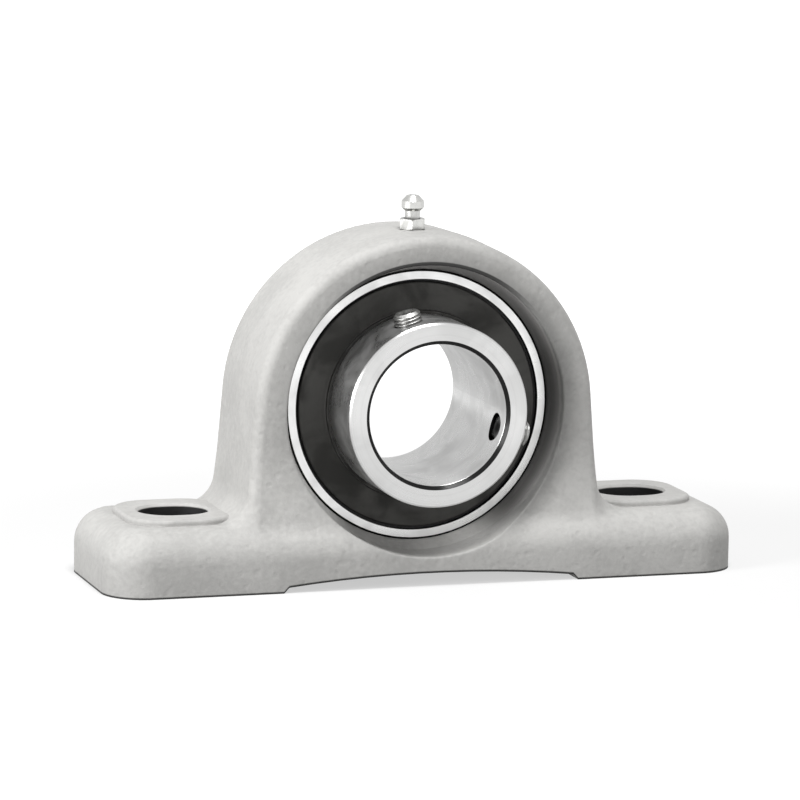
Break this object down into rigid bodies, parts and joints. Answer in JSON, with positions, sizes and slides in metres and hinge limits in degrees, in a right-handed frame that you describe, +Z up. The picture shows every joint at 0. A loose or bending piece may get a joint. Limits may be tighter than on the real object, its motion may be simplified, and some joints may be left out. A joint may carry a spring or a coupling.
{
  "type": "pillow block bearing",
  "caption": "Foot-mounted cast housing with a self-aligning sealed ball bearing insert, wide inner ring with set screws, slotted bolt holes and a grease nipple.",
  "frame": {"origin": "on the base plane, midway between the two bolt slots, under the centre of the bearing", "axes": "+X along the foot, +Y along the shaft axis with the set screws at -Y, +Z up from the base"},
  "size_m": [0.186, 0.0572, 0.1081],
  "materials": {
    "cast_housing": "fine sand-cast grain under a thin light grey coat",
    "ground_steel": "satin, ground round the axis",
    "flinger_steel": "dark satin pressing",
    "pressed_steel": "cold rolled strip, satin",
    "spring_steel": "drawn wire",
    "plated_steel": "bright zinc plating",
    "polished_steel": "mirror polished",
    "screw_steel": "bright zinc on rolled thread",
    "seal_rubber": "matt black"
  },
  "bodies": {
    "housing": {"housing": "cast_housing", "grease_nipple": "plated_steel", "nipple_spring": "spring_steel"},
    "nipple_check": {"nipple_ball": "polished_steel"},
    "alignment_pin": {"locating_pin": "ground_steel"},
    "outer_ring": {"outer_ring": "ground_steel", "seal_front": "seal_rubber", "seal_rear": "seal_rubber", "seal_core_front": "pressed_steel", "seal_core_rear": "pressed_steel"},
    "inner_ring": {"inner_ring": "ground_steel", "flinger_front": "flinger_steel", "flinger_rear": "flinger_steel"},
    "cage": {"cage_front": "pressed_steel", "cage_rear": "pressed_steel", "cage_rivets": "pressed_steel"},
    "ball_1": {"ball_1": "polished_steel"},
    "ball_2": {"ball_2": "polished_steel"},
    "ball_3": {"ball_3": "polished_steel"},
    "ball_4": {"ball_4": "polished_steel"},
    "ball_5": {"ball_5": "polished_steel"},
    "ball_6": {"ball_6": "polished_steel"},
    "ball_7": {"ball_7": "polished_steel"},
    "ball_8": {"ball_8": "polished_steel"},
    "ball_9": {"ball_9": "polished_steel"},
    "set_screw_1": {"set_screw_1": "screw_steel"},
    "set_screw_2": {"set_screw_2": "screw_steel"}
  },
  "joints": [
    {"name": "ring_yaw", "type": "hinge", "parent": "housing", "child": "alignment_pin", "pos_m": [0, 0, 0.0492], "axis": [0, 0, 1], "range_deg": [-2, 2]},
    {"name": "ring_pitch", "type": "hinge", "parent": "alignment_pin", "child": "outer_ring", "pos_m": [0, 0, 0.0492], "axis": [1, 0, 0], "range_deg": [-2, 2]},
    {"name": "inner_ring_spin", "type": "hinge", "parent": "outer_ring", "child": "inner_ring", "pos_m": [0, 0, 0.0492], "axis": [0, 1, 0], "continuous": true},
    {"name": "cage_orbit", "type": "hinge", "parent": "outer_ring", "child": "cage", "pos_m": [0, 0, 0.0492], "axis": [0, 1, 0], "continuous": true},
    {"name": "ball_1_spin", "type": "hinge", "parent": "cage", "child": "ball_1", "pos_m": [0, 0, 0.0792], "axis": [0, 1, 0], "continuous": true},
    {"name": "ball_2_spin", "type": "hinge", "parent": "cage", "child": "ball_2", "pos_m": [-0.01928, 0, 0.07218], "axis": [0, 1, 0], "continuous": true},
    {"name": "ball_3_spin", "type": "hinge", "parent": "cage", "child": "ball_3", "pos_m": [-0.02954, 0, 0.05441], "axis": [0, 1, 0], "continuous": true},
    {"name": "ball_4_spin", "type": "hinge", "parent": "cage", "child": "ball_4", "pos_m": [-0.02598, 0, 0.0342], "axis": [0, 1, 0], "continuous": true},
    {"name": "ball_5_spin", "type": "hinge", "parent": "cage", "child": "ball_5", "pos_m": [-0.01026, 0, 0.02101], "axis": [0, 1, 0], "continuous": true},
    {"name": "ball_6_spin", "type": "hinge", "parent": "cage", "child": "ball_6", "pos_m": [0.01026, 0, 0.02101], "axis": [0, 1, 0], "continuous": true},
    {"name": "ball_7_spin", "type": "hinge", "parent": "cage", "child": "ball_7", "pos_m": [0.02598, 0, 0.0342], "axis": [0, 1, 0], "continuous": true},
    {"name": "ball_8_spin", "type": "hinge", "parent": "cage", "child": "ball_8", "pos_m": [0.02954, 0, 0.05441], "axis": [0, 1, 0], "continuous": true},
    {"name": "ball_9_spin", "type": "hinge", "parent": "cage", "child": "ball_9", "pos_m": [0.01928, 0, 0.07218], "axis": [0, 1, 0], "continuous": true},
    {"name": "set_screw_1_advance", "type": "slide", "parent": "inner_ring", "child": "set_screw_1", "axis": [-0.9659, 0, 0.2588], "range_m": [-0.002, 0.0008]},
    {"name": "set_screw_2_advance", "type": "slide", "parent": "inner_ring", "child": "set_screw_2", "axis": [0.2588, 0, -0.9659], "range_m": [-0.002, 0.0008]},
    {"name": "nipple_ball_press", "type": "slide", "parent": "housing", "child": "nipple_check", "axis": [0, 0, -1], "range_m": [0, 0.0008], "stiffness_N_per_m": 300, "springref_m": -0.0003, "deforming": ["nipple_spring"]}
  ],
  "couplings": [
    {"joint": "cage_orbit", "follows": "inner_ring_spin", "ratio": 0.4},
    {"joint": "ball_1_spin", "follows": "inner_ring_spin", "ratio": -2.4},
    {"joint": "ball_2_spin", "follows": "inner_ring_spin", "ratio": -2.4},
    {"joint": "ball_3_spin", "follows": "inner_ring_spin", "ratio": -2.4},
    {"joint": "ball_4_spin", "follows": "inner_ring_spin", "ratio": -2.4},
    {"joint": "ball_5_spin", "follows": "inner_ring_spin", "ratio": -2.4},
    {"joint": "ball_6_spin", "follows": "inner_ring_spin", "ratio": -2.4},
    {"joint": "ball_7_spin", "follows": "inner_ring_spin", "ratio": -2.4},
    {"joint": "ball_8_spin", "follows": "inner_ring_spin", "ratio": -2.4},
    {"joint": "ball_9_spin", "follows": "inner_ring_spin", "ratio": -2.4}
  ]
}
